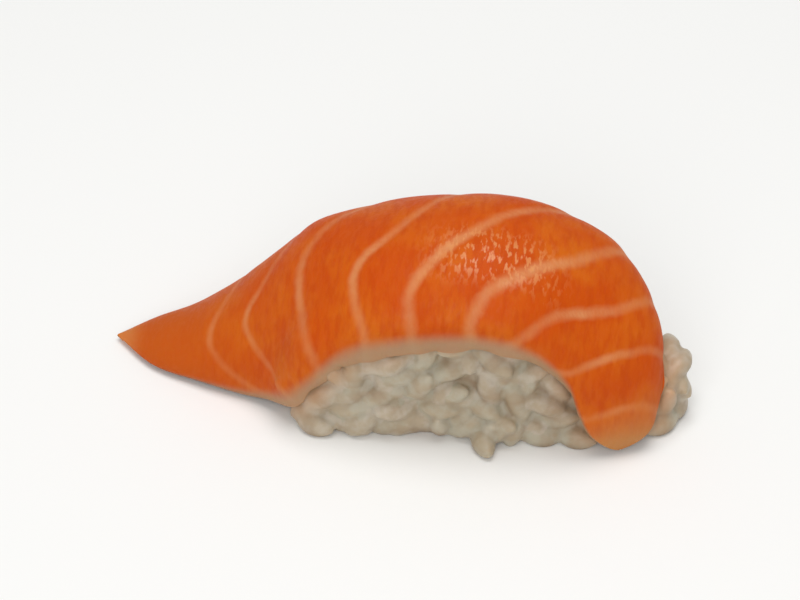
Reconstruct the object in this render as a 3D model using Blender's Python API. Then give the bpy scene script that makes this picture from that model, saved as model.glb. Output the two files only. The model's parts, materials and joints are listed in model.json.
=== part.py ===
"""Salmon nigiri: a slice of raw salmon draped over a hand-pressed block of sushi rice.

The piece lies along X, tail of the slice at -X, its front side facing -Y. The rice stands on
z = 0, and so do the tail and the tongue of the slice. Sizes are in metres.
"""

import math
import random

import bmesh
import bpy
import numpy as np
from mathutils import Matrix, Vector, noise
from mathutils.bvhtree import BVHTree

MM = 0.001

# The rice block, a loaf that the board flattens underneath, blunt at -X and low at +X
BLOCK_HALF_LENGTH = 27.0 * MM
BLOCK_HALF_WIDTH = 12.0 * MM
BLOCK_BEND = {-1: 3.0 * MM, 1: 2.9 * MM}
BLOCK_WAIST = 6.0 * MM
BLOCK_RISE = 17.5 * MM
BLOCK_SINK = 14.0 * MM
PLAN_SQUARENESS = {(-1, -1): 4.5, (-1, 1): 4.5, (1, -1): 1.5, (1, 1): 1.45}
PROFILE_SQUARENESS = {(-1, 1): 2.2, (-1, -1): 2.2, (1, 1): 1.1, (1, -1): 3.0}
SECTION_SQUARENESS = {-1: 2.6, 1: 3.4}
BLOCK_LUMP = 0.9 * MM
LUMP_SPACING = 9.0 * MM
BLOCK_SIDES = 30
BLOCK_RINGS = 24

# The grains of cooked short rice. A few lie loose along the foot and on the far end: their
# middles in millimetres and their turns in degrees
GRAIN_LENGTH = 6.2 * MM
GRAIN_WIDTH = 3.0 * MM
GRAIN_FULLNESS = 1.1
GRAIN_TAPER = 0.3
GRAIN_CURVE = 0.1
GRAIN_FLATNESS = 0.92
GRAIN_SIDES = 6
GRAIN_RINGS = 4
GRAIN_SIZES = (0.88, 1.1)
GRAIN_LIFTS = (-0.1 * MM, 0.55 * MM)
GRAIN_LEAN = 0.22
GRAIN_AXIS = [Vector((x * GRAIN_LENGTH, 0, 0)) for x in (-0.34, -0.17, 0, 0.17, 0.34)]
GRAIN_APART = 0.56 * GRAIN_WIDTH
GRAIN_TRIES = 9000
GRAIN_MOST = 150
GRAIN_SEED = 7
LOOSE_GRAINS = (
    ((-21.8, -12.9, 1.5), -25),
    ((1.2, -13.6, 1.45), -70),
    ((9.2, -11.2, 1.4), 12),
    ((13.6, -11.1, 1.4), -8),
    ((24.8, -6.9, 1.5), 40),
    ((26.6, -3.4, 1.5), 65),
    ((25.2, 0.4, 8.3), 95),
    ((26.7, -1.8, 7.7), 70),
)
DOWNWARD = -0.9

# Clear space that neighbouring solids keep
GAP = 0.3 * MM

# The slice: its rims and its ridge, as points in millimetres that a smooth curve passes through
TAIL_TIP = (-52.0, 2.6, 0.9)
TONGUE_TIP = (19.6, -12.6, 0.8)
NEAR_RIM = (
    (-46.0, -3.3, 0.7),
    (-39.0, -6.2, 0.7),
    (-31.0, -8.8, 0.8),
    (-25.2, -12.4, 4.5),
    (-17.5, -13.9, 14.0),
    (-8.0, -14.5, 17.4),
    (1.0, -14.6, 18.4),
    (7.8, -14.3, 16.2),
    (11.8, -14.1, 12.0),
    (13.3, -14.1, 7.6),
    (15.6, -13.9, 3.4),
)
RIDGE = (
    (-46.0, 1.6, 3.6),
    (-39.5, 1.4, 7.2),
    (-32.0, 1.2, 13.3),
    (-24.5, 0.8, 20.4),
    (-16.0, 0.4, 25.0),
    (-7.0, 0.2, 27.6),
    (1.5, -0.2, 28.2),
    (9.5, -1.4, 26.2),
    (16.2, -4.4, 21.4),
    (20.8, -8.8, 14.2),
    (21.2, -12.4, 5.0),
)
FAR_RIM = (
    (-46.5, 6.4, 0.8),
    (-39.5, 9.4, 0.8),
    (-31.5, 11.6, 3.0),
    (-24.0, 13.2, 9.5),
    (-15.0, 14.2, 14.6),
    (-7.0, 14.2, 16.8),
    (1.0, 13.6, 18.2),
    (9.4, 11.2, 19.0),
    (17.6, 6.8, 18.2),
    (23.2, -1.2, 12.0),
    (23.7, -9.6, 3.6),
)
SLICE_SECTIONS = 56
SLICE_STEPS = 9
STEP_CROWDING = 1.5
SLICE_THICKNESS = 5.0 * MM
SLICE_LEAST = 0.8 * MM
TAIL_THINNING = (0.28, 2.6)
TONGUE_THINNING = (0.35, 2.4)
RIM_THINNING = 0.45
RIM_ROUNDING = 7
CORE_GAP = 0.6 * MM
NORMAL_STEP = 0.004
TABLE_CLEARANCE = 0.1 * MM


def clear_scene():
    for found in list(bpy.data.objects):
        bpy.data.objects.remove(found)


def material(name, colour, roughness):
    made = bpy.data.materials.new(name)
    made.use_nodes = True
    shader = made.node_tree.nodes["Principled BSDF"]
    shader.inputs["Base Color"].default_value = (*colour, 1.0)
    shader.inputs["Roughness"].default_value = roughness
    return made


def object_from(name, form, finish):
    """Turns a bmesh into a named object of the scene."""
    mesh = bpy.data.meshes.new(name)
    form.to_mesh(mesh)
    form.free()
    mesh.materials.append(finish)
    mesh.shade_smooth()
    made = bpy.data.objects.new(name, mesh)
    bpy.context.scene.collection.objects.link(made)
    return made


def closed_skin(rings, first, last):
    """A form of triangles through rings of points, closed on a point at each end."""
    form = bmesh.new()
    rows = [[form.verts.new(point) for point in ring] for ring in rings]
    count = len(rows[0])
    for one, two in zip(rows, rows[1:]):
        for k in range(count):
            follows = (k + 1) % count
            form.faces.new((one[k], one[follows], two[follows]))
            form.faces.new((one[k], two[follows], two[k]))
    for row, tip in ((rows[0], first), (rows[-1], last)):
        pole = form.verts.new(tip)
        for k in range(count):
            form.faces.new((row[k], row[(k + 1) % count], pole))
    bmesh.ops.recalc_face_normals(form, faces=form.faces[:])
    return form


def unit_rings(sides, steps):
    """Rings of a unit sphere with its poles on X."""
    rings = []
    turns = [math.tau * k / sides for k in range(sides)]
    for i in range(1, steps):
        swing = math.pi * i / steps
        x, radius = -math.cos(swing), math.sin(swing)
        rings.append([Vector((x, radius * math.cos(t), radius * math.sin(t))) for t in turns])
    return rings


def fullness(place, squareness):
    """Height of a unit superellipse at a place from 0 to 1 along it."""
    return (1 - min(abs(place), 1.0) ** squareness) ** (1 / squareness)


def block_point(place):
    """Where a point of the unit sphere, its poles on X, goes on the loaf, flat below."""
    end = 1 if place.x > 0 else -1
    side = 1 if place.y > 0 else -1
    up = 1 if place.z > 0 else -1
    depth = BLOCK_RISE if up > 0 else BLOCK_SINK
    depth *= fullness(place.x, PROFILE_SQUARENESS[end, up])
    width = BLOCK_HALF_WIDTH * fullness(place.x, PLAN_SQUARENESS[end, side])
    point = Vector((place.x * BLOCK_HALF_LENGTH, 0, 0))
    if abs(place.x) < 0.9999:
        turn = math.atan2(place.z, place.y)
        square = SECTION_SQUARENESS[up]
        share = abs(math.cos(turn) / width) ** square + abs(math.sin(turn) / depth) ** square
        point += Vector((0, math.cos(turn), math.sin(turn))) * share ** (-1 / square)
    point += point.normalized() * BLOCK_LUMP * noise.noise(point / LUMP_SPACING)
    point += Vector((0, -BLOCK_BEND[end] * place.x**2, BLOCK_WAIST))
    point.z = max(point.z, 0)
    return point


def block_rings():
    """Rings of points round the bare core of pressed rice."""
    return [[block_point(p) for p in ring] for ring in unit_rings(BLOCK_SIDES, BLOCK_RINGS)]


def make_block(rings):
    """The bare core of pressed rice."""
    return closed_skin(rings, block_point(Vector((-1, 0, 0))), block_point(Vector((1, 0, 0))))


def through(points, before, after, place):
    """The point at a place from 0 to 1 on a smooth curve through the points."""
    whole = place * (len(points) - 1)
    index = min(int(whole), len(points) - 2)
    t = whole - index
    p0 = points[index - 1] if index else before
    p1, p2 = points[index], points[index + 1]
    p3 = points[index + 2] if index + 2 < len(points) else after
    return 0.5 * (
        2 * p1
        + (p2 - p0) * t
        + (2 * p0 - 5 * p1 + 4 * p2 - p3) * t**2
        + (3 * p1 - 3 * p2 + p3 - p0) * t**3
    )


def rail(middle):
    """One rail of the slice, from tail tip to tongue tip, in metres."""
    return [Vector(p) * MM for p in (TAIL_TIP, *middle, TONGUE_TIP)]


def slice_surface():
    """A function giving the slice's outer face at a place along it (0 to 1) and across it (-1 to 1)."""
    near, ridge, far = rail(NEAR_RIM), rail(RIDGE), rail(FAR_RIM)

    def point(along, across):
        low = through(near, 2 * near[0] - near[1], far[-2], along)
        high = through(ridge, 2 * ridge[0] - ridge[1], 2 * ridge[-1] - ridge[-2], along)
        back = through(far, 2 * far[0] - far[1], near[-2], along)
        middle = (low + back) / 2
        turn = across * math.pi / 2
        return middle + (back - low) / 2 * math.sin(turn) + (high - middle) * math.cos(turn)

    return point


def outward(surface, along, across):
    """The outer face's normal."""
    step = NORMAL_STEP
    a = min(max(along, 2 * step), 1 - 2 * step)
    b = min(max(across, -1 + 2 * step), 1 - 2 * step)
    run = surface(a + step, b) - surface(a - step, b)
    side = surface(a, b + step) - surface(a, b - step)
    return run.cross(side).normalized()


def slice_depth(along, across):
    """Thickness of the slice, less towards the rim and both ends."""
    tail = min(1.0, TAIL_THINNING[0] + TAIL_THINNING[1] * along)
    tongue = min(1.0, TONGUE_THINNING[0] + TONGUE_THINNING[1] * (1 - along))
    rim = (1 - RIM_THINNING * across**2) * math.sqrt(1 - abs(across) ** RIM_ROUNDING)
    return SLICE_THICKNESS * tail * tongue * rim


def clear_of(tree, point, distance):
    """The point, moved out to at least a distance from a closed form."""
    near, normal, _, _ = tree.find_nearest(point)
    if (point - near).dot(normal) < distance:
        return near + normal * distance
    return point


def make_slice(core):
    """The slice of salmon, closed round its rim, its underside fitted to the core."""
    surface = slice_surface()
    core_tree = BVHTree.FromBMesh(core)
    steps = [i / SLICE_STEPS for i in range(-SLICE_STEPS, SLICE_STEPS + 1)]
    places = [math.copysign(1 - (1 - abs(s)) ** STEP_CROWDING, s) for s in steps]
    rings = []
    for i in range(1, SLICE_SECTIONS):
        along = i / SLICE_SECTIONS
        over, under = [], []
        for across in places:
            point = clear_of(core_tree, surface(along, across), CORE_GAP + SLICE_LEAST)
            over.append(point)
            if abs(across) == 1:
                continue
            normal = outward(surface, along, across)
            reach = core_tree.ray_cast(point, -normal)[3]
            depth = slice_depth(along, across)
            if reach is not None:
                depth = min(depth, reach - CORE_GAP)
            low = clear_of(core_tree, point - normal * depth, CORE_GAP)
            low.z = max(low.z, TABLE_CLEARANCE)
            under.append(low)
        rings.append(over + under[::-1])
    return closed_skin(rings, Vector(TAIL_TIP) * MM, Vector(TONGUE_TIP) * MM)


def grain_point(place):
    """Where a point of the unit sphere goes on one grain, lying along X, a little flat and bent."""
    full = GRAIN_FULLNESS - GRAIN_TAPER * place.x**2
    return Vector(
        (
            place.x * GRAIN_LENGTH / 2,
            (place.y * full + GRAIN_CURVE * place.x**2) * GRAIN_WIDTH / 2,
            place.z * full * GRAIN_WIDTH / 2 * GRAIN_FLATNESS,
        )
    )


def grain_form():
    """One grain of cooked rice."""
    rings = [[grain_point(p) for p in ring] for ring in unit_rings(GRAIN_SIDES, GRAIN_RINGS)]
    return closed_skin(rings, grain_point(Vector((-1, 0, 0))), grain_point(Vector((1, 0, 0))))


def grain_frame(spot, normal, draw):
    """A grain's transform: it lies flat on a spot of the core, turned and leaning at random."""
    turn = draw.uniform(0, math.pi)
    lean = draw.gauss(0, GRAIN_LEAN)
    size = draw.uniform(*GRAIN_SIZES)
    lift = draw.uniform(*GRAIN_LIFTS)
    frame = Matrix.Translation(spot + normal * lift) @ normal.to_track_quat("Z", "Y").to_matrix().to_4x4()
    frame = frame @ Matrix.Rotation(turn, 4, "Z") @ Matrix.Rotation(lean, 4, "Y")
    return frame @ Matrix.Scale(size, 4)


def core_triangles(rings):
    """The core's triangles as corners, normal and area, without those that face the board."""
    pole = block_point(Vector((1, 0, 0)))
    corners = [(row[k - 1], row[k], pole) for row in rings[-1:] for k in range(len(row))]
    for one, two in zip(rings, rings[1:]):
        for k in range(len(one)):
            corners += [(one[k - 1], one[k], two[k]), (one[k - 1], two[k], two[k - 1])]
    crosses = [(b - a).cross(c - a) for a, b, c in corners]
    found = [(three, cross.normalized(), cross.length / 2) for three, cross in zip(corners, crosses)]
    return [triangle for triangle in found if triangle[1].z > DOWNWARD]


def place_grains(triangles, slice_tree, draw):
    """Transforms of the grains that show: they lie side by side on the bare core, clear of the slice."""
    weights = [area for _, _, area in triangles]
    grain = grain_form()
    corners = [v.co.copy() for v in grain.verts]
    sides = [[v.index for v in face.verts] for face in grain.faces]
    swollen = Matrix.Scale(1 + 2 * GAP / GRAIN_WIDTH, 4)
    placed = []
    for spot, turn in LOOSE_GRAINS:
        placed.append(Matrix.Translation(Vector(spot) * MM) @ Matrix.Rotation(math.radians(turn), 4, "Z"))
    taken = np.array([frame @ reach for frame in placed for reach in GRAIN_AXIS])
    for _ in range(GRAIN_TRIES):
        (a, b, c), normal, _ = draw.choices(triangles, weights)[0]
        r, s = sorted((draw.random(), draw.random()))
        spot = a * r + b * (s - r) + c * (1 - s)
        frame = grain_frame(spot, normal, draw)
        line = [frame @ reach for reach in GRAIN_AXIS]
        if np.linalg.norm(taken[:, None] - np.array(line), axis=2).min() < GRAIN_APART:
            continue
        if slice_tree.ray_cast(spot, normal)[0] is not None:
            continue
        sunk = max(0, -min((frame @ corner).z for corner in corners))
        frame = Matrix.Translation((0, 0, sunk)) @ frame
        room = BVHTree.FromPolygons([frame @ swollen @ corner for corner in corners], sides)
        if slice_tree.overlap(room):
            continue
        taken = np.vstack([taken, line])
        placed.append(frame)
        if len(placed) == GRAIN_MOST:
            break
    return placed


def largest_shell(mesh):
    """Keeps the outer skin of a fused form, without sealed hollows or loose scraps."""
    form = bmesh.new()
    form.from_mesh(mesh)
    left = set(form.verts)
    shells = []
    while left:
        shell, front = set(), [left.pop()]
        while front:
            vertex = front.pop()
            shell.add(vertex)
            for edge in vertex.link_edges:
                other = edge.other_vert(vertex)
                if other in left:
                    left.discard(other)
                    front.append(other)
        shells.append(shell)
    kept = max(shells, key=len)
    bmesh.ops.delete(form, geom=[v for v in form.verts if v not in kept], context="VERTS")
    form.to_mesh(mesh)
    form.free()


def fuse_grains(block, frames, finish):
    """One union of the core and its grains."""
    heap = bpy.data.collections.new("grains")
    bpy.context.scene.collection.children.link(heap)
    form = grain_form()
    mesh = bpy.data.meshes.new("grain")
    form.to_mesh(mesh)
    form.free()
    mesh.materials.append(finish)
    for i, frame in enumerate(frames):
        grain = bpy.data.objects.new(f"grain_{i:03d}", mesh)
        grain.matrix_world = frame
        heap.objects.link(grain)
    union = block.modifiers.new("grains", "BOOLEAN")
    union.operation = "UNION"
    union.operand_type = "COLLECTION"
    union.collection = heap
    union.solver = "MANIFOLD"
    bpy.context.view_layer.objects.active = block
    bpy.ops.object.modifier_apply(modifier=union.name)
    for grain in list(heap.objects):
        bpy.data.objects.remove(grain)
    bpy.data.collections.remove(heap)
    largest_shell(block.data)


def centre_on_footprint(objects):
    """Puts the origin under the middle of the piece."""
    corners = [v.co for o in objects for v in o.data.vertices]
    middle = [(min(c[i] for c in corners) + max(c[i] for c in corners)) / 2 for i in (0, 1)]
    for found in objects:
        found.data.transform(Matrix.Translation((-middle[0], -middle[1], 0)))


def main():
    clear_scene()
    rice_finish = material("cooked_rice", (0.80, 0.77, 0.69), 0.45)
    salmon_finish = material("raw_salmon", (0.83, 0.23, 0.05), 0.35)
    rings = block_rings()
    core = make_block(rings)
    fish = make_slice(core)
    draw = random.Random(GRAIN_SEED)
    frames = place_grains(core_triangles(rings), BVHTree.FromBMesh(fish), draw)
    block = object_from("rice", core, rice_finish)
    salmon = object_from("salmon", fish, salmon_finish)
    fuse_grains(block, frames, rice_finish)
    centre_on_footprint([block, salmon])
    print(len(frames), "grains")


main()
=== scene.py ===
# %% [markdown]
# Salmon nigiri
#
# This lesson dresses one piece of nigiri sushi: a slice of raw salmon lies over a block of
# pressed rice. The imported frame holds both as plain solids. Here each gets its fine form and
# its finish. Everything is in metres, with the tail of the slice at -X and its front at -Y.

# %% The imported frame
import json
import math
import random

import bmesh
import bpy
import numpy as np
from mathutils import Matrix, Quaternion, Vector, noise
from mathutils.bvhtree import BVHTree
from mathutils.kdtree import KDTree

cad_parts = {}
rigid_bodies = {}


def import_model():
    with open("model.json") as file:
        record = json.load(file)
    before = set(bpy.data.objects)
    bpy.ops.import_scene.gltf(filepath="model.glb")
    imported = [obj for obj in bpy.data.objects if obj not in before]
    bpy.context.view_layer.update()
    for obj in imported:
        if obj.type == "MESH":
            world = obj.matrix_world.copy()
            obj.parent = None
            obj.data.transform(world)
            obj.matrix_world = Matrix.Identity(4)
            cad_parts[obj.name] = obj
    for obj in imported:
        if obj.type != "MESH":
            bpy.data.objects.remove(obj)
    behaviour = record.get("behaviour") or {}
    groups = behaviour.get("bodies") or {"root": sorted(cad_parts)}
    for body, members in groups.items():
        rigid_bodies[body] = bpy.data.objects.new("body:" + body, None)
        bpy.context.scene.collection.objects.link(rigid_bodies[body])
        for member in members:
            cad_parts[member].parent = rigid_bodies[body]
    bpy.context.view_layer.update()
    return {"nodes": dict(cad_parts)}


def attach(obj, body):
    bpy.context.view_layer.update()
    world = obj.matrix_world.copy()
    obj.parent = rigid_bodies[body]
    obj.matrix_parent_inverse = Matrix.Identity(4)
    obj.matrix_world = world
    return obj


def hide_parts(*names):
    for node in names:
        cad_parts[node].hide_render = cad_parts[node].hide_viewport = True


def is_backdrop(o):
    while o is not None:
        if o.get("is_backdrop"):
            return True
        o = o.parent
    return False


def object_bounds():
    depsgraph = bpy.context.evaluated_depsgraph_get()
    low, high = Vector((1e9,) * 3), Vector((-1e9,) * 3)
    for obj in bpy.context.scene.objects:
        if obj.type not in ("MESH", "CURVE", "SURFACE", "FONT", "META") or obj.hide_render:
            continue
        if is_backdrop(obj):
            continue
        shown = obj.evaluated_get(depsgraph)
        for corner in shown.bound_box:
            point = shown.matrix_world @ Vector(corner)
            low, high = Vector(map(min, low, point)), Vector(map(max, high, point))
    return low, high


MM = 0.001
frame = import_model()
print("frame nodes:", sorted(frame["nodes"]))

# %% [markdown]
# An operator works on whatever is selected, and loading the frame leaves its nodes selected.
# So each piece begins with nothing selected. A finished piece keeps its object at the origin,
# with its place in its mesh, so that patterns on object coordinates never slide. The faces of a
# new ball are sorted, because the later steps have to give the same result each run.


# %% Helpers for new pieces
def deselect_everything():
    for found in bpy.context.scene.objects:
        found.select_set(False)


def select_only(piece):
    deselect_everything()
    piece.select_set(True)
    bpy.context.view_layer.objects.active = piece


def sort_faces(mesh):
    """Lists the faces by their vertices. Blender's ball lists them in another order each run."""
    places = [vertex.co.copy() for vertex in mesh.vertices]
    faces = []
    for face in mesh.polygons:
        corners = list(face.vertices)
        first = corners.index(min(corners))
        faces.append(corners[first:] + corners[:first])
    mesh.clear_geometry()
    mesh.from_pydata(places, [], sorted(faces))


def new_ball(name, around, along):
    """A ball of unit size at the origin: a start for forms that are closed at both ends."""
    deselect_everything()
    bpy.ops.mesh.primitive_uv_sphere_add(segments=around, ring_count=along, radius=1)
    ball = bpy.context.object
    ball.name = ball.data.name = name
    sort_faces(ball.data)
    return ball


def vertex_places(piece):
    """The places of a piece's vertices, one row for each."""
    places = np.zeros(len(piece.data.vertices) * 3)
    piece.data.vertices.foreach_get("co", places)
    return places.reshape(-1, 3)


def move_vertices(piece, places):
    piece.data.vertices.foreach_set("co", np.asarray(places, float).ravel())
    piece.data.update()


def surface_numbers(piece, name, values):
    """Keeps one number for each vertex, which a material can read by its name."""
    layer = piece.data.attributes.new(name, "FLOAT", "POINT")
    layer.data.foreach_set("value", np.asarray(values, np.float32))


def apply_modifier(piece, kind, **settings):
    select_only(piece)
    made = piece.modifiers.new(kind.lower(), kind)
    for name, value in settings.items():
        setattr(made, name, value)
    bpy.ops.object.modifier_apply(modifier=made.name)


def face_outwards(piece):
    select_only(piece)
    bpy.ops.object.mode_set(mode="EDIT")
    bpy.ops.mesh.select_all(action="SELECT")
    bpy.ops.mesh.normals_make_consistent(inside=False)
    bpy.ops.object.mode_set(mode="OBJECT")


# %% [markdown]
# The slice hangs over the rice like a saddle cloth. Three rails say where it runs: the rim at
# the front, the ridge on top and the rim at the back. A smooth curve passes through the points
# of each, and half an ellipse joins the three at every place along the slice. Few points are
# needed, because a soft slice has no corners.

# %% The rails of the slice, in millimetres from the middle of the rice block
TAIL_TIP = (-52.0, 2.6, 0.9)
TONGUE_TIP = (19.6, -12.6, 0.8)
NEAR_RIM = (
    (-46.0, -3.3, 0.7),
    (-39.0, -6.2, 0.7),
    (-31.0, -8.8, 0.8),
    (-25.2, -12.4, 4.5),
    (-17.5, -13.9, 14.0),
    (-8.0, -14.5, 17.4),
    (1.0, -14.6, 18.4),
    (7.8, -14.3, 16.2),
    (11.8, -14.1, 12.0),
    (13.3, -14.1, 7.6),
    (15.6, -13.9, 3.4),
)
RIDGE = (
    (-46.0, 1.6, 3.6),
    (-39.5, 1.4, 7.2),
    (-32.0, 1.2, 13.3),
    (-24.5, 0.8, 20.4),
    (-16.0, 0.4, 25.0),
    (-7.0, 0.2, 27.6),
    (1.5, -0.2, 28.2),
    (9.5, -1.4, 26.2),
    (16.2, -4.4, 21.4),
    (20.8, -8.8, 14.2),
    (21.2, -12.4, 5.0),
)
FAR_RIM = (
    (-46.5, 6.4, 0.8),
    (-39.5, 9.4, 0.8),
    (-31.5, 11.6, 3.0),
    (-24.0, 13.2, 9.5),
    (-15.0, 14.2, 14.6),
    (-7.0, 14.2, 16.8),
    (1.0, 13.6, 18.2),
    (9.4, 11.2, 19.0),
    (17.6, 6.8, 18.2),
    (23.2, -1.2, 12.0),
    (23.7, -9.6, 3.6),
)
NORMAL_STEP = 0.004


def through(points, before, after, places):
    """Points at places from 0 to 1 along a smooth curve through the given points."""
    whole = np.asarray(places, float) * (len(points) - 1)
    index = np.minimum(whole.astype(int), len(points) - 2)
    t = (whole - index)[:, None]
    padded = np.vstack([before, points, after])
    p0, p1, p2, p3 = (padded[index + k] for k in range(4))
    linear = (p2 - p0) * t
    square = (2 * p0 - 5 * p1 + 4 * p2 - p3) * t**2
    cubic = (3 * p1 - 3 * p2 + p3 - p0) * t**3
    return 0.5 * (2 * p1 + linear + square + cubic)


def rail(middle):
    return np.array((TAIL_TIP, *middle, TONGUE_TIP)) * MM


def outer_face(along, across):
    """Points of the slice's outer face, at places along it (0 to 1) and across it (-1 to 1)."""
    near, ridge, far = rail(NEAR_RIM), rail(RIDGE), rail(FAR_RIM)
    low = through(near, 2 * near[0] - near[1], far[-2], along)
    high = through(ridge, 2 * ridge[0] - ridge[1], 2 * ridge[-1] - ridge[-2], along)
    back = through(far, 2 * far[0] - far[1], near[-2], along)
    middle = (low + back) / 2
    turn = (np.asarray(across, float) * math.pi / 2)[:, None]
    return middle + (back - low) / 2 * np.sin(turn) + (high - middle) * np.cos(turn)


def outward(along, across):
    """Unit normals of the outer face, from its slopes over a small step each way."""
    a = np.clip(along, 2 * NORMAL_STEP, 1 - 2 * NORMAL_STEP)
    b = np.clip(across, -1 + 2 * NORMAL_STEP, 1 - 2 * NORMAL_STEP)
    run = outer_face(a + NORMAL_STEP, b) - outer_face(a - NORMAL_STEP, b)
    side = outer_face(a, b + NORMAL_STEP) - outer_face(a, b - NORMAL_STEP)
    normal = np.cross(run, side)
    return normal / np.linalg.norm(normal, axis=1, keepdims=True)


# %% [markdown]
# The frame centres the whole piece on its footprint, so the middle of the rice block isn't at
# the origin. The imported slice's vertex farthest towards -X is its tail tip, and where it lies
# says how far the two differ.

# %% The middle of the rice block in the frame
packed_tip = min((v.co for v in frame["nodes"]["salmon"].data.vertices), key=lambda place: place.x)
BLOCK_MIDDLE = Vector((packed_tip.x - TAIL_TIP[0] * MM, packed_tip.y - TAIL_TIP[1] * MM, 0))
print("block middle:", [round(v / MM, 2) for v in BLOCK_MIDDLE], "mm")

# %% [markdown]
# The rice is pressed by hand into a loaf. It's modelled as a ball whose rings are squared off
# (superellipses), set on the board so that it's flat below. A slow noise takes away the
# machine-made look.

# %% The bare core of pressed rice
BLOCK_HALF_LENGTH = 27.0 * MM
BLOCK_HALF_WIDTH = 12.0 * MM
BLOCK_BEND = {-1: 3.0 * MM, 1: 2.9 * MM}
BLOCK_WAIST = 6.0 * MM
BLOCK_RISE = 17.5 * MM
BLOCK_SINK = 14.0 * MM
PLAN_SQUARENESS = {(-1, -1): 4.5, (-1, 1): 4.5, (1, -1): 1.5, (1, 1): 1.45}
PROFILE_SQUARENESS = {(-1, 1): 2.2, (-1, -1): 2.2, (1, 1): 1.1, (1, -1): 3.0}
SECTION_SQUARENESS = {-1: 2.6, 1: 3.4}
BLOCK_LUMP = 0.9 * MM
LUMP_SPACING = 9.0 * MM
AT_POLE = 0.9999


def fullness(place, squareness):
    """Height of a unit superellipse at a place from 0 to 1 along it."""
    return (1 - min(abs(place), 1.0) ** squareness) ** (1 / squareness)


def block_point(place):
    """Where a point of the unit ball, its poles on X, goes on the loaf."""
    end = 1 if place.x > 0 else -1
    side = 1 if place.y > 0 else -1
    up = 1 if place.z > 0 else -1
    depth = (BLOCK_RISE if up > 0 else BLOCK_SINK) * fullness(place.x, PROFILE_SQUARENESS[end, up])
    width = BLOCK_HALF_WIDTH * fullness(place.x, PLAN_SQUARENESS[end, side])
    point = Vector((place.x * BLOCK_HALF_LENGTH, 0, 0))
    if abs(place.x) < AT_POLE:
        turn = math.atan2(place.z, place.y)
        square = SECTION_SQUARENESS[up]
        share = abs(math.cos(turn) / width) ** square + abs(math.sin(turn) / depth) ** square
        point += Vector((0, math.cos(turn), math.sin(turn))) * share ** (-1 / square)
    point += point.normalized() * BLOCK_LUMP * noise.noise(point / LUMP_SPACING)
    point += Vector((0, -BLOCK_BEND[end] * place.x**2, BLOCK_WAIST))
    point.z = max(point.z, 0)
    return point


def pole_on_x(place):
    """Turns a point of Blender's ball, whose poles are on Z, so that they lie on X."""
    return Vector((place[2], place[0], place[1]))


rice = new_ball("rice_heap", around=60, along=48)
core_places = [block_point(pole_on_x(place)) + BLOCK_MIDDLE for place in vertex_places(rice)]
move_vertices(rice, core_places)
face_outwards(rice)
print("core:", len(core_places), "vertices")

# %% [markdown]
# One grain of short rice is a ball drawn out to six millimetres, a little flat and bent. It's
# modelled once, and copies lie on the core side by side, turned at random. The frame's solid
# has plain grains in its outer layer, and the draw below repeats theirs, so that the dressed
# heap keeps that outline. A few lie loose along the foot and on the far end, each listed one by
# one. A second, deeper layer then fills the gaps between them.

# %% One grain
GRAIN_LENGTH = 6.2 * MM
GRAIN_WIDTH = 3.0 * MM
GRAIN_FULLNESS = 1.1
GRAIN_TAPER = 0.3
GRAIN_CURVE = 0.1
GRAIN_FLATNESS = 0.92
GRAIN_AXIS = [Vector((x * GRAIN_LENGTH, 0, 0)) for x in (-0.34, -0.17, 0, 0.17, 0.34)]


def grain_point(place):
    """Where a point of the unit ball, its poles on X, goes on one grain."""
    full = GRAIN_FULLNESS - GRAIN_TAPER * place.x**2
    return Vector(
        (
            place.x * GRAIN_LENGTH / 2,
            (place.y * full + GRAIN_CURVE * place.x**2) * GRAIN_WIDTH / 2,
            place.z * full * GRAIN_WIDTH / 2 * GRAIN_FLATNESS,
        )
    )


grain = new_ball("grain", around=12, along=10)
move_vertices(grain, [grain_point(pole_on_x(place)) for place in vertex_places(grain)])
face_outwards(grain)
print("grain:", len(grain.data.polygons), "faces")

# %% [markdown]
# A random draw gives the same grains only if it walks over the same triangles. So the coarse
# core and the plain grain of the frame's solid are worked out again here, as lists of corners.

# %% The triangles that the draw walks over
BLOCK_SIDES = 30
BLOCK_RINGS = 24
GRAIN_SIDES = 6
GRAIN_RINGS = 4
DOWNWARD = -0.9


def unit_rings(sides, steps):
    """Rings of a unit ball with its poles on X."""
    rings = []
    turns = [math.tau * k / sides for k in range(sides)]
    for i in range(1, steps):
        swing = math.pi * i / steps
        x, radius = -math.cos(swing), math.sin(swing)
        rings.append([Vector((x, radius * math.cos(t), radius * math.sin(t))) for t in turns])
    return rings


def core_triangles(rings):
    """The core's triangles as corners, normal and area, without those that face the board."""
    pole = block_point(Vector((1, 0, 0)))
    corners = [(row[k - 1], row[k], pole) for row in rings[-1:] for k in range(len(row))]
    for one, two in zip(rings, rings[1:]):
        for k in range(len(one)):
            corners += [(one[k - 1], one[k], two[k]), (one[k - 1], two[k], two[k - 1])]
    crosses = [(b - a).cross(c - a) for a, b, c in corners]
    found = [(three, cross.normalized(), cross.length / 2) for three, cross in zip(corners, crosses)]
    return [triangle for triangle in found if triangle[1].z > DOWNWARD]


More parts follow.
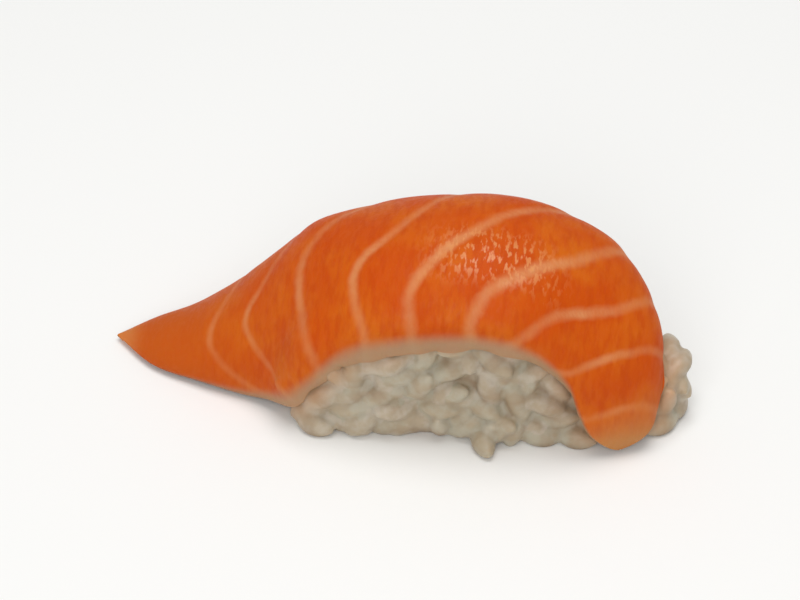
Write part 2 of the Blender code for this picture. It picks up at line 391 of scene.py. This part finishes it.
core_rings = [[block_point(p) for p in ring] for ring in unit_rings(BLOCK_SIDES, BLOCK_RINGS)]
triangles = core_triangles(core_rings)
weights = [area for _, _, area in triangles]
plain_rings = [[grain_point(p) for p in ring] for ring in unit_rings(GRAIN_SIDES, GRAIN_RINGS)]
plain_corners = [corner for ring in plain_rings for corner in ring]
plain_corners += [grain_point(Vector((-1, 0, 0))), grain_point(Vector((1, 0, 0)))]
last_ring = (GRAIN_RINGS - 2) * GRAIN_SIDES
plain_sides = []
for first in range(0, last_ring, GRAIN_SIDES):
    for k in range(GRAIN_SIDES):
        one, other = first + k, first + (k + 1) % GRAIN_SIDES
        plain_sides += [(one, other, other + GRAIN_SIDES), (one, other + GRAIN_SIDES, one + GRAIN_SIDES)]
for first, pole in ((0, len(plain_corners) - 2), (last_ring, len(plain_corners) - 1)):
    plain_sides += [(first + k, first + (k + 1) % GRAIN_SIDES, pole) for k in range(GRAIN_SIDES)]
print("places to draw from:", len(triangles))

# %% [markdown]
# A grain is laid by a matrix: on a random spot of the core, flat against it, then turned and
# leaning a little. It's left out where it would crowd another grain or touch the slice.

# %% Tools for laying grains
GRAIN_SIZES = (0.88, 1.1)
GRAIN_LEAN = 0.22


def search_tree(piece):
    """A piece as a search tree, with the block's middle at the origin."""
    shape = bmesh.new()
    shape.from_mesh(piece.data)
    bmesh.ops.triangulate(shape, faces=shape.faces[:])
    shape.transform(Matrix.Translation(-BLOCK_MIDDLE))
    tree = BVHTree.FromBMesh(shape)
    shape.free()
    return tree


def random_lay(lifts):
    """A grain flat on a random spot of the core, turned and leaning, with that spot and its normal."""
    (a, b, c), normal, _ = draw.choices(triangles, weights)[0]
    r, s = sorted((draw.random(), draw.random()))
    spot = a * r + b * (s - r) + c * (1 - s)
    turn = draw.uniform(0, math.pi)
    lean = draw.gauss(0, GRAIN_LEAN)
    size = draw.uniform(*GRAIN_SIZES)
    lift = draw.uniform(*lifts)
    lay = Matrix.Translation(spot + normal * lift) @ normal.to_track_quat("Z", "Y").to_matrix().to_4x4()
    lay = lay @ Matrix.Rotation(turn, 4, "Z") @ Matrix.Rotation(lean, 4, "Y")
    return spot, normal, lay @ Matrix.Scale(size, 4)


def crowded(line, taken, apart):
    return np.linalg.norm(taken[:, None] - np.array(line), axis=2).min() < apart


def on_the_board(lay):
    """The grain, raised until no corner is under the board."""
    sunk = max(0, -min((lay @ corner).z for corner in plain_corners))
    return Matrix.Translation((0, 0, sunk)) @ lay


# %% The layer of grains that stand proud, as in the frame
PROUD_SEED = 7
PROUD_LIFTS = (-0.1 * MM, 0.55 * MM)
PROUD_APART = 0.56 * GRAIN_WIDTH
PROUD_TRIES = 9000
LOOSE_GRAINS = (
    ((-21.8, -12.9, 1.5), -25),
    ((1.2, -13.6, 1.45), -70),
    ((9.2, -11.2, 1.4), 12),
    ((13.6, -11.1, 1.4), -8),
    ((24.8, -6.9, 1.5), 40),
    ((26.6, -3.4, 1.5), 65),
    ((25.2, 0.4, 8.3), 95),
    ((26.7, -1.8, 7.7), 70),
)
SOLID_GAP = 0.3 * MM
swollen = Matrix.Scale(1 + 2 * SOLID_GAP / GRAIN_WIDTH, 4)
packed_slice = search_tree(frame["nodes"]["salmon"])
core_tree = search_tree(rice)
draw = random.Random(PROUD_SEED)
proud = []
for spot, turn in LOOSE_GRAINS:
    proud.append(Matrix.Translation(Vector(spot) * MM) @ Matrix.Rotation(math.radians(turn), 4, "Z"))
taken = np.array([lay @ knot for lay in proud for knot in GRAIN_AXIS])
for _ in range(PROUD_TRIES):
    spot, normal, lay = random_lay(PROUD_LIFTS)
    line = [lay @ knot for knot in GRAIN_AXIS]
    if crowded(line, taken, PROUD_APART) or packed_slice.ray_cast(spot, normal)[0] is not None:
        continue
    lay = on_the_board(lay)
    room = BVHTree.FromPolygons([lay @ swollen @ corner for corner in plain_corners], plain_sides)
    if packed_slice.overlap(room):
        continue
    taken = np.vstack([taken, line])
    proud.append(lay)
print("proud grains:", len(proud))

# %% [markdown]
# The second layer lies lower and closer together. It isn't kept clear of the slice, because the
# slice is fitted over it later. Only grains that the slice covers from end to end are left out.

# %% The deeper layer
SUNK_SEED = 3
SUNK_LIFTS = (-0.75 * MM, -0.2 * MM)
SUNK_APART = 0.42 * GRAIN_WIDTH
SUNK_TRIES = 4500
draw = random.Random(SUNK_SEED)
sunken, taken = [], np.ones((1, 3))
for _ in range(SUNK_TRIES):
    spot, normal, lay = random_lay(SUNK_LIFTS)
    line = [lay @ knot for knot in GRAIN_AXIS]
    covered = all(packed_slice.ray_cast(point, normal)[0] is not None for point in line)
    if covered or crowded(line, taken, SUNK_APART):
        continue
    taken = np.vstack([taken, line])
    sunken.append(on_the_board(lay))
laid = [*proud, *sunken]
print("sunken grains:", len(sunken))

# %% [markdown]
# Cooked rice is sticky: starch rounds off every seam between two grains. Joined meshes alone
# would leave hard creases. A voxel remesh turns the core and its grains into one closed skin,
# and a few smoothing steps round the seams, as the starch does. The block's weight presses its
# lowest grains on to the board, and bisect makes the flat cut there. Its threshold suits large
# scenes, so it's set to a thousandth of a millimetre.

# %% The heap of rice
SKIN_PITCH = 0.3 * MM
SEAM_SMOOTHING = 3
SMOOTHING_SHARE = 0.5
PRESS_DEPTH = 0.6 * MM
PRESS_HEIGHT = 3.0 * MM
BOARD_CUT = 0.05 * MM
CUT_THRESHOLD = 0.001 * MM
heap = [rice]
for number, lay in enumerate(laid):
    copy = bpy.data.objects.new(f"grain_{number:03d}", grain.data.copy())
    copy.data.transform(Matrix.Translation(BLOCK_MIDDLE) @ lay)
    bpy.context.scene.collection.objects.link(copy)
    heap.append(copy)
bpy.data.objects.remove(grain)
deselect_everything()
for piece in heap:
    piece.select_set(True)
bpy.context.view_layer.objects.active = rice
bpy.ops.object.join()
apply_modifier(rice, "REMESH", mode="VOXEL", voxel_size=SKIN_PITCH, adaptivity=0.0)
apply_modifier(rice, "SMOOTH", factor=SMOOTHING_SHARE, iterations=SEAM_SMOOTHING)
soft_places = vertex_places(rice)
soft_places[:, 2] -= PRESS_DEPTH * np.clip(1 - soft_places[:, 2] / PRESS_HEIGHT, 0, 1)
move_vertices(rice, soft_places)
bpy.ops.object.mode_set(mode="EDIT")
bpy.ops.mesh.select_all(action="SELECT")
cut = {"plane_co": (0, 0, BOARD_CUT), "plane_no": (0, 0, 1), "threshold": CUT_THRESHOLD}
bpy.ops.mesh.bisect(use_fill=True, clear_inner=True, **cut)
bpy.ops.object.mode_set(mode="OBJECT")
rice.data.shade_smooth()
rice_places = [Vector(place) - BLOCK_MIDDLE for place in vertex_places(rice)]
# How far each point is from the slice. The rice's finish paints shade near it.
surface_numbers(rice, "near_slice", [packed_slice.find_nearest(place)[3] / MM for place in rice_places])
heap_tree = search_tree(rice)
print("rice:", sum(len(face.vertices) - 2 for face in rice.data.polygons), "triangles")

# %% [markdown]
# Every grain cooks a little differently, so each gets a tone of its own, and the seams between
# grains get painted shade, darker and warmer. The remesh has joined the grains, so each point of
# the skin asks which grain's middle line is nearest, and how far off it is.

# %% A tone for each grain, and the seams between them
axis_tree = KDTree(len(laid) * len(GRAIN_AXIS))
for number, lay in enumerate(laid):
    for k, knot in enumerate(GRAIN_AXIS):
        axis_tree.insert(lay @ knot, number * len(GRAIN_AXIS) + k)
axis_tree.balance()
nearest_knots = [axis_tree.find(place) for place in rice_places]
tones = [draw.random() for _ in laid]
surface_numbers(rice, "tone", [tones[index // len(GRAIN_AXIS)] for _, index, _ in nearest_knots])
# How near a seam each point is. The rice's finish paints shade there.
surface_numbers(rice, "seam", [distance / (GRAIN_WIDTH / 2) for _, _, distance in nearest_knots])
print("grains with a tone:", len(tones))

# %% [markdown]
# The slice comes last, because it's soft and takes the form of what it lies on. It starts as a
# ball too. Its top half becomes the outer face and its lower half the underside, so the mesh is
# closed and smooth round the rim without any stitching. The rings crowd towards the rim, where
# the form turns quickly.

# %% Where each vertex of the slice's ball goes
SLICE_AROUND = 176
SLICE_RINGS = 360
RIM_CROWDING = 1.5
AT_RIM = 0.9999
POLE_RADIUS = 1e-6
salmon = new_ball("salmon_slice", SLICE_AROUND, SLICE_RINGS)
ball = vertex_places(salmon)
along = np.arccos(np.clip(-ball[:, 2], -1, 1)) / math.pi
turned = np.arctan2(ball[:, 1], ball[:, 0])
step_across = 1 - 2 * np.abs(turned) / math.pi
across = np.copysign(1 - (1 - np.abs(step_across)) ** RIM_CROWDING, step_across)
at_pole = np.hypot(ball[:, 0], ball[:, 1]) < POLE_RADIUS
below = (turned < 0) & (np.abs(step_across) < AT_RIM) & ~at_pole
print("slice:", len(ball), "vertices,", int(below.sum()), "of them underneath")

# %% [markdown]
# Pale lines of fat part the orange muscle. They run up the front face, bend near its top edge
# and sweep back towards the tongue. Each row below says where one line is along the slice,
# read at seven places across it, from the front rim over the crown to the back rim.

# %% The lines of fat
LINE_STATIONS = (-1.0, -0.8, -0.55, -0.3, 0.0, 0.5, 1.0)
FAT_LINES = (
    (0.300, 0.228, 0.192, 0.188, 0.205, 0.235, 0.260),
    (0.352, 0.306, 0.258, 0.243, 0.276, 0.318, 0.345),
    (0.385, 0.374, 0.354, 0.333, 0.336, 0.402, 0.438),
    (0.441, 0.437, 0.420, 0.415, 0.462, 0.520, 0.552),
    (0.495, 0.491, 0.485, 0.512, 0.572, 0.668, 0.700),
    (0.567, 0.562, 0.580, 0.636, 0.700, 0.746, 0.770),
    (0.606, 0.640, 0.678, 0.732, 0.776, 0.803, 0.815),
    (0.700, 0.744, 0.778, 0.804, 0.828, 0.853, 0.862),
    (0.850, 0.864, 0.874, 0.881, 0.889, 0.902, 0.908),
)
FAT_HALF_WIDTHS = (0.6, 0.6, 0.85, 0.8, 0.9, 0.95, 0.8, 0.65, 0.7)
FAT_STRENGTHS = (0.45, 0.6, 0.65, 0.85, 1.0, 1.0, 0.85, 0.75, 0.45)
LINE_SAMPLES = 420


def line_points(row):
    """Points close together on one line of fat, on the outer face."""
    spots = np.linspace(-1, 1, LINE_SAMPLES)
    knots = np.column_stack([LINE_STATIONS, row, np.zeros(len(row))])
    curve = through(knots, 2 * knots[0] - knots[1], 2 * knots[-1] - knots[-2], (spots + 1) / 2)
    return outer_face(curve[:, 1], np.clip(curve[:, 0], -1, 1))


line_tree = KDTree(len(FAT_LINES) * LINE_SAMPLES)
for number, row in enumerate(FAT_LINES):
    for k, point in enumerate(line_points(row)):
        line_tree.insert(point, number * LINE_SAMPLES + k)
line_tree.balance()
skin = outer_face(along, across)
nearest_lines = [line_tree.find(point) for point in skin]
line_number = np.array([index // LINE_SAMPLES for _, index, _ in nearest_lines])
line_distance = np.array([distance for _, _, distance in nearest_lines]) / MM
fat_offset = line_distance / np.array(FAT_HALF_WIDTHS)[line_number]
fat_strength = np.array(FAT_STRENGTHS)[line_number]
print("fat lines:", len(FAT_LINES))

# %% [markdown]
# A thick slice hides the grains below it, and a thin one would show each of them. This one is
# five millimetres thick in the middle, and thinner towards its rim and both ends.

# %% How thick the slice is
SLICE_THICKNESS = 5.0 * MM
TAIL_THINNING = (0.28, 2.6)
TONGUE_THINNING = (0.35, 2.4)
RIM_THINNING = 0.45
RIM_ROUNDING = 3.5


def slice_depth(along, across):
    """Thickness of the slice, less towards the rim and both ends."""
    tail = np.minimum(1, TAIL_THINNING[0] + TAIL_THINNING[1] * along)
    tongue = np.minimum(1, TONGUE_THINNING[0] + TONGUE_THINNING[1] * (1 - along))
    rim = (1 - RIM_THINNING * across**2) * np.sqrt(1 - np.abs(across) ** RIM_ROUNDING)
    return SLICE_THICKNESS * tail * tongue * rim


# %% [markdown]
# The smooth form between the rails may come too near the lumpy core. A soft slice gives way
# there over a wide stretch. So its points are pushed off the core, and the push is spread over
# their neighbours in many small steps, which leaves a slow swelling and no crease.

# %% The slice, pushed off the core
OVER_CORE = 1.4 * MM
PUSH_ROUNDS = 3
PUSH_SPREADING = 60


def clear_of(tree, point, distance):
    """The point, moved out to at least a distance from a closed form."""
    near, normal, _, _ = tree.find_nearest(point)
    if (point - near).dot(normal) < distance:
        return near + normal * distance
    return point


def spread(piece, values, steps):
    """Values of the vertices, evened out with their neighbours in many small steps."""
    ends = np.zeros(len(piece.data.edges) * 2, int)
    piece.data.edges.foreach_get("vertices", ends)
    one, other = ends[0::2], ends[1::2]
    links = np.bincount(ends, minlength=len(values))[:, None]
    for _ in range(steps):
        around = np.zeros_like(values)
        np.add.at(around, one, values[other])
        np.add.at(around, other, values[one])
        values = (values + around / links) / 2
    return values


smooth_skin = skin
for _ in range(PUSH_ROUNDS):
    pushed = np.array([clear_of(core_tree, Vector(point), OVER_CORE) for point in skin])
    skin = skin + spread(salmon, pushed - skin, PUSH_SPREADING)
print("push off the core:", round(np.abs(skin - smooth_skin).max() / MM, 2), "mm at most")

# %% [markdown]
# A knife cut leaves the fat a little lower than the muscle beside it, and the muscle is never
# quite even. So the outer face sinks along each line of fat and swells slowly between them. The
# rim curls in and hangs down. Then it settles: a ray from each point, back along its normal,
# measures how far off the grains are. The tail and the tongue's tip lie on the board, and don't
# hang.

# %% Grooves, swells and a rim that settles
GROOVE_DEPTH = 0.16 * MM
GROOVE_WIDTH = 1.5
SWELL = 0.22 * MM
SWELL_SPACING = 7.0 * MM
CALM_RIM = 0.15
CALM_ENDS = 0.04
TUCK_START = 0.84
RIM_TUCK = 0.8 * MM
RIM_DROP = 2.2 * MM
DROP_HEIGHTS = (1.5 * MM, 6.0 * MM)
RIM_CLEARANCE = 0.3 * MM
RIM_SETTLING = 1.6 * MM
SETTLING_SPREAD = 12
normals = outward(along, across)
swell = np.array([noise.noise(Vector(point) / SWELL_SPACING) for point in skin])
groove = np.exp(-((fat_offset / GROOVE_WIDTH) ** 2)) * fat_strength
tuck = np.clip((np.abs(across) - TUCK_START) / (1 - TUCK_START), 0, 1) ** 2
calm = np.clip((1 - np.abs(across)) / CALM_RIM, 0, 1)
calm = calm * np.clip(np.minimum(along, 1 - along) / CALM_ENDS, 0, 1)
thickness_share = slice_depth(along, 0) / SLICE_THICKNESS
hanging = np.clip((skin[:, 2] - DROP_HEIGHTS[0]) / (DROP_HEIGHTS[1] - DROP_HEIGHTS[0]), 0, 1)
relief = (SWELL * swell - GROOVE_DEPTH * groove) * calm - RIM_TUCK * tuck * thickness_share
skin = skin + normals * relief[:, None] - np.outer(RIM_DROP * tuck * hanging, (0, 0, 1))
to_grains = np.array([heap_tree.ray_cast(Vector(p), -Vector(n))[3] or 0 for p, n in zip(skin, normals)])
settling = np.clip(to_grains - 2 * RIM_CLEARANCE, 0, RIM_SETTLING) * tuck * hanging
skin = skin - normals * spread(salmon, settling[:, None], SETTLING_SPREAD)
print("rim settles by up to", round(settling.max() / MM, 2), "mm")

# %% [markdown]
# The ball's lower half becomes the underside. Each of its points starts on the outer face and
# goes in by the slice's thickness, or until it's just clear of a grain. Points that meet on one
# grain would fold the mesh, so the rim and the underside are evened a little at the end.

# %% The underside, and the finished mesh
HEAP_CLEARANCE = 0.05 * MM
TABLE_CLEARANCE = 0.1 * MM
EVENING_STEPS = 4
depths = slice_depth(along, across)
formed = []
for i, point in enumerate(skin):
    place = Vector(point)
    if at_pole[i]:
        formed.append(place + BLOCK_MIDDLE)
        continue
    place = clear_of(heap_tree, place, RIM_CLEARANCE)
    if below[i]:
        normal = Vector(normals[i])
        to_grain = heap_tree.ray_cast(place, -normal)[3]
        depth = depths[i] if to_grain is None else min(depths[i], to_grain - HEAP_CLEARANCE)
        place = clear_of(heap_tree, place - normal * depth, HEAP_CLEARANCE)
    place.z = max(place.z, TABLE_CLEARANCE)
    formed.append(place + BLOCK_MIDDLE)
formed = np.array(formed)
evened = (below | (tuck > 0)) & ~at_pole
formed[evened] = spread(salmon, formed, EVENING_STEPS)[evened]
move_vertices(salmon, formed)
face_outwards(salmon)
salmon.data.shade_smooth()
for name, values in (
    ("fat_offset", fat_offset),
    ("fat_strength", fat_strength),
    ("across", across),
    ("along", along),
):
    surface_numbers(salmon, name, values)
print("slice box:", [round(v / MM, 1) for v in salmon.dimensions], "mm")

# %% [markdown]
# A material is a graph of small sums. Written as nodes it's hard to read, so a value of the
# graph is wrapped in a class whose plus, minus and times add the Math nodes. Any other node
# comes from one method that takes its type, its settings and what feeds it.


# %% Shader sums as Python
class Value:
    """A socket of a shader graph that can be added, subtracted and multiplied."""

    def __init__(self, finish, socket):
        self.finish = finish
        self.socket = socket

    def sum(self, operation, *terms):
        return self.finish.add("ShaderNodeMath", {"operation": operation}, dict(enumerate(terms)))

    def __add__(self, other):
        return self.sum("ADD", self, other)

    def __sub__(self, other):
        return self.sum("SUBTRACT", self, other)

    def __rsub__(self, other):
        return self.sum("SUBTRACT", other, self)

    def __mul__(self, other):
        return self.sum("MULTIPLY", self, other)

    def __abs__(self):
        return self.sum("ABSOLUTE", self)

    __radd__ = __add__
    __rmul__ = __mul__

    def capped(self):
        """Held between 0 and 1."""
        return self.sum("MINIMUM", self.sum("MAXIMUM", self, 0.0), 1.0)

    def rise(self, low, high):
        """0 below low, 1 above high, and a soft step between."""
        fed = {"Value": self, "From Min": low, "From Max": high}
        return self.finish.add("ShaderNodeMapRange", {"interpolation_type": "SMOOTHSTEP"}, fed)


class Finish:
    """A material while it's being made."""

    def __init__(self, name, **shader_settings):
        self.material = bpy.data.materials.new(name)
        self.material.use_nodes = True
        self.tree = self.material.node_tree
        self.shader = self.tree.nodes["Principled BSDF"]
        for place, value in shader_settings.items():
            self.shader.inputs[place.replace("_", " ")].default_value = value

    def feed(self, socket, value):
        if isinstance(value, Value):
            self.tree.links.new(value.socket, socket)
        else:
            socket.default_value = value

    def add(self, kind, settings, fed, out=0):
        made = self.tree.nodes.new(kind)
        for name, value in settings.items():
            setattr(made, name, value)
        for place, value in fed.items():
            self.feed(made.inputs[place], value)
        return Value(self, made.outputs[out])

    def number(self, name):
        """One number for each point of the surface, kept with the mesh."""
        return self.add("ShaderNodeAttribute", {"attribute_name": name}, {}, out=2)

    def place(self, scale=(1, 1, 1)):
        """Object coordinates, stretched."""
        raw = self.add("ShaderNodeTexCoord", {}, {}, out=3)
        return self.add("ShaderNodeMapping", {}, {"Vector": raw, "Scale": scale})

    def noise(self, spacing, detail=2.0, stretch=(1, 1, 1), rough=0.5):
        """Smooth noise from 0 to 1 whose lumps are a spacing in metres apart."""
        scale = tuple(s / spacing for s in stretch)
        fed = {"Vector": self.place(scale), "Scale": 1.0, "Detail": detail, "Roughness": rough}
        return self.add("ShaderNodeTexNoise", {}, fed)

    def mix(self, share, first, second):
        """A colour between two."""
        fed = {0: share, 6: first, 7: second}
        return self.add("ShaderNodeMix", {"data_type": "RGBA"}, fed, out=2)

    def bump(self, height, distance, strength):
        fed = {"Height": height, "Distance": distance, "Strength": strength}
        return self.add("ShaderNodeBump", {}, fed)

    def set(self, place, value):
        self.feed(self.shader.inputs[place], value)


def colour(red, green, blue):
    """A colour as a screen shows it, 0 to 255, turned into the light values that a shader takes."""
    shares = [c / 255 for c in (red, green, blue)]
    return (*[s / 12.92 if s <= 0.04045 else ((s + 0.055) / 1.055) ** 2.4 for s in shares], 1.0)


# %% [markdown]
# Raw salmon is wet, slightly see-through muscle. Light enters it and comes out a little way
# off, mostly red, so it has subsurface scattering. Its colour starts as broad patches of two
# oranges, and fine darker fibres run across it, from a noise that is stretched. The lines of
# fat are pale with soft, uneven edges, and strongest on the crest of the front face. The thin
# rim and the tongue let the rice shine through, and so look paler. Along the tail the rim is a
# browner line instead, partly the slice's edge and partly painted contact shade where it lies
# on the board. The wet shine on the crown breaks up into short flecks. A pale colour, which is
# a painted highlight, and a clear coat both follow one streaky noise.

# %% The finish of the salmon
FLESH = colour(199, 79, 8)
GOLD_FLESH = colour(206, 100, 18)
DEEP_FLESH = colour(190, 68, 6)
TAIL_FLESH = colour(192, 86, 22)
TAIL_TIP_FLESH = colour(202, 120, 60)
FAT = colour(212, 142, 92)
THIN_RIM = colour(172, 140, 108)
# Partly painted contact shade: a browner line along the tail's rim, where it lies on the board.
TAIL_RIM_SHADE = colour(168, 100, 70)
THIN_TONGUE = colour(188, 134, 78)
# Painted highlight: the pale flecks of the wet shine on the crown.
PAINTED_GLINT = colour(222, 150, 84)
CREST_ACROSS = -0.32
SHINE_ALONG = 0.59
SHINE_ACROSS = -0.27
salmon_finish = Finish(
    "raw_salmon_flesh",
    Subsurface_Weight=0.25,
    Subsurface_Radius=(1.0, 0.35, 0.15),
    Subsurface_Scale=1.2 * MM,
    Specular_IOR_Level=0.12,
    IOR=1.4,
    Coat_Roughness=0.3,
    Coat_IOR=1.45,
)
s = salmon_finish
along_slice, across_slice = s.number("along"), s.number("across")
tail = 1 - along_slice.rise(0.08, 0.32)
tongue_end = along_slice.rise(0.86, 0.96)
crest = 1 - abs(across_slice - CREST_ACROSS).rise(0.0, 0.35)
rim = abs(across_slice).rise(0.86, 0.97) * (1 - tail) + abs(across_slice).rise(0.9, 0.99) * tail
flesh = s.mix(s.noise(9.0 * MM, detail=3.0).rise(0.35, 0.7), FLESH, GOLD_FLESH)
fibres = s.noise(1.5 * MM, detail=3.0, stretch=(1.6, 0.5, 0.5)).rise(0.40, 0.68)
flesh = s.mix(fibres * 0.55, flesh, DEEP_FLESH)
flesh = s.mix(tail, flesh, TAIL_FLESH)
flesh = s.mix(tongue_end * 0.85, flesh, THIN_TONGUE)
offset = s.number("fat_offset") + (s.noise(1.6 * MM, detail=3.0) - 0.5) * 0.9
fat = (1 - offset.rise(0.0, 1.5)) * s.number("fat_strength")
fat = fat * (0.52 + crest * 0.36) * (0.6 + s.noise(2.6 * MM, detail=2.0) * 0.8)
flesh = s.mix(fat.capped(), flesh, FAT)
# The rim is paler where the rice shines through. Along the tail it is a browner line, partly painted
# contact shade.
rim_tint_and_tail_shade = s.mix(tail, THIN_RIM, TAIL_RIM_SHADE)
flesh = s.mix(rim * 0.92, flesh, rim_tint_and_tail_shade)
flesh = s.mix(1 - along_slice.rise(0.01, 0.07), flesh, TAIL_TIP_FLESH)
off_shine = abs(along_slice - SHINE_ALONG).rise(0.03, 0.12)
beside_shine = abs(across_slice - SHINE_ACROSS).rise(0.06, 0.28)
crown = (1 - off_shine) * (1 - beside_shine)
streaks = s.noise(1.1 * MM, detail=2.0, stretch=(2.2, 0.9, 0.9))
# Painted highlight: pale flecks mixed into the base colour where the crown shines.
s.set("Base Color", s.mix(streaks.rise(0.5, 0.64) * crown * 0.6, flesh, PAINTED_GLINT))
s.set("Roughness", 0.42 + s.noise(1.2 * MM, detail=2.0) * 0.16)
s.set("Coat Weight", streaks.rise(0.48, 0.58) * (0.1 + crown * 0.5))
wet_height = s.noise(0.7 * MM, detail=4.0, stretch=(1.6, 0.6, 0.6), rough=0.65) + s.noise(2.4 * MM) * 1.2
s.set("Normal", s.bump(wet_height, 0.12 * MM, 0.5))
salmon.data.materials.append(s.material)

# %% [markdown]
# A cooked grain is milky and moist. Much of its light comes from inside, which fills the
# creases. Each grain has its own tone, with cloudy patches, and the seams between grains are
# darker and warmer with painted shade. Next to the fish the rice is darker and warmer too: a
# painted shade and a painted orange bounce of light from the fish.

# %% The finish of the rice
RICE = colour(180, 172, 152)
RICE_MILKY = colour(190, 178, 160)
RICE_SHADE = colour(172, 154, 128)
# Painted shade in the seams between grains.
PAINTED_SEAM_SHADE = colour(148, 120, 92)
# Painted shade and a painted orange bounce of light on the rice next to the slice.
PAINTED_SHADE_NEAR_SLICE = colour(184, 142, 104)
rice_finish = Finish(
    "cooked_rice_grain",
    Subsurface_Weight=0.5,
    Subsurface_Radius=(1.0, 0.8, 0.6),
    Subsurface_Scale=1.6 * MM,
    Specular_IOR_Level=0.5,
    IOR=1.38,
)
r = rice_finish
cloud = r.noise(2.2 * MM, detail=3.0)
grain_colour = r.mix(r.number("tone").rise(0.2, 0.8), RICE, RICE_MILKY)
grain_colour = r.mix(cloud.rise(0.35, 0.65) * 0.8, grain_colour, RICE_SHADE)
# Painted shade: the seams between grains are darker and warmer.
grain_colour = r.mix(r.number("seam").rise(0.85, 1.25) * 0.6, grain_colour, PAINTED_SEAM_SHADE)
# Painted shade and orange bounce: the rice next to the slice is darker and warmer.
slice_shade_share = 1 - r.number("near_slice").rise(0.2, 4.6)
r.set("Base Color", r.mix(slice_shade_share * 0.8, grain_colour, PAINTED_SHADE_NEAR_SLICE))
r.set("Roughness", 0.28 + r.noise(1.0 * MM) * 0.2)
r.set("Normal", r.bump(r.noise(0.45 * MM, detail=3.0) + r.noise(1.6 * MM), 0.1 * MM, 0.4))
rice.data.materials.append(r.material)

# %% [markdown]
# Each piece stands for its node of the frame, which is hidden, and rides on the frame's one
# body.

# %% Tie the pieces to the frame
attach(salmon, "root")
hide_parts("salmon")
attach(rice, "root")
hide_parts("rice")

# %% [markdown]
# The stage is a pale board under soft light. A wide lamp hangs overhead, because the wet
# crown shines just in front of its top, and a wider one farther off fills the front.

# %% The floor
FLOOR_SIZE = 3.0
deselect_everything()
bpy.ops.mesh.primitive_plane_add(size=FLOOR_SIZE, location=(0, 0, 0))
floor = bpy.context.object
floor.name = "floor"
floor_finish = Finish("pale_board", Roughness=0.9, Specular_IOR_Level=0.1)
floor_finish.set("Base Color", colour(243, 243, 241))
floor.data.materials.append(floor_finish.material)
floor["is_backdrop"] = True

# %% The lamps
ROOM_LIGHT = 0.4
LAMPS = (
    ("overhead", (0.02, 0.03, 0.62), 0.38, 2.1),
    ("front_fill", (-0.06, -0.70, 0.50), 0.60, 2.75),
)
for name, spot, size, watts in LAMPS:
    deselect_everything()
    bpy.ops.object.light_add(type="AREA", location=spot)
    lamp = bpy.context.object
    lamp.name = name
    lamp.data.size = size
    lamp.data.energy = watts
    lamp.rotation_euler = Vector(spot).to_track_quat("Z", "Y").to_euler()
world = bpy.data.worlds.new("soft_room")
world.use_nodes = True
background = world.node_tree.nodes["Background"]
background.inputs["Color"].default_value = (1.0, 1.0, 1.0, 1.0)
background.inputs["Strength"].default_value = ROOM_LIGHT
bpy.context.scene.world = world
bpy.context.scene.view_settings.view_transform = "Standard"

# %% [markdown]
# The camera looks along the photograph's line of sight, a little from the tongue's side and
# from well above. It stands as near as for a close view by hand, with a long lens. It rolls a
# little as well, because a piece low in a wide picture looks turned.

# %% The camera
AZIMUTH = math.radians(6)
ELEVATION = math.radians(39)
CAMERA_DISTANCE = 0.367
LENS = 122.0
SENSOR_WIDTH = 36.0
NEAREST_SEEN = 0.01
ROLL = math.radians(0.8)
low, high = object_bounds()
aim = (low + high) / 2
sight = Vector(
    (
        math.sin(AZIMUTH) * math.cos(ELEVATION),
        -math.cos(AZIMUTH) * math.cos(ELEVATION),
        math.sin(ELEVATION),
    )
)
deselect_everything()
bpy.ops.object.camera_add(location=aim + sight * CAMERA_DISTANCE)
camera = bpy.context.object
camera.name = "photo_camera"
camera.rotation_euler = (sight.to_track_quat("Z", "Y") @ Quaternion((0, 0, 1), ROLL)).to_euler()
camera.data.lens = LENS
camera.data.sensor_width = SENSOR_WIDTH
camera.data.clip_start = NEAREST_SEEN
bpy.context.scene.camera = camera
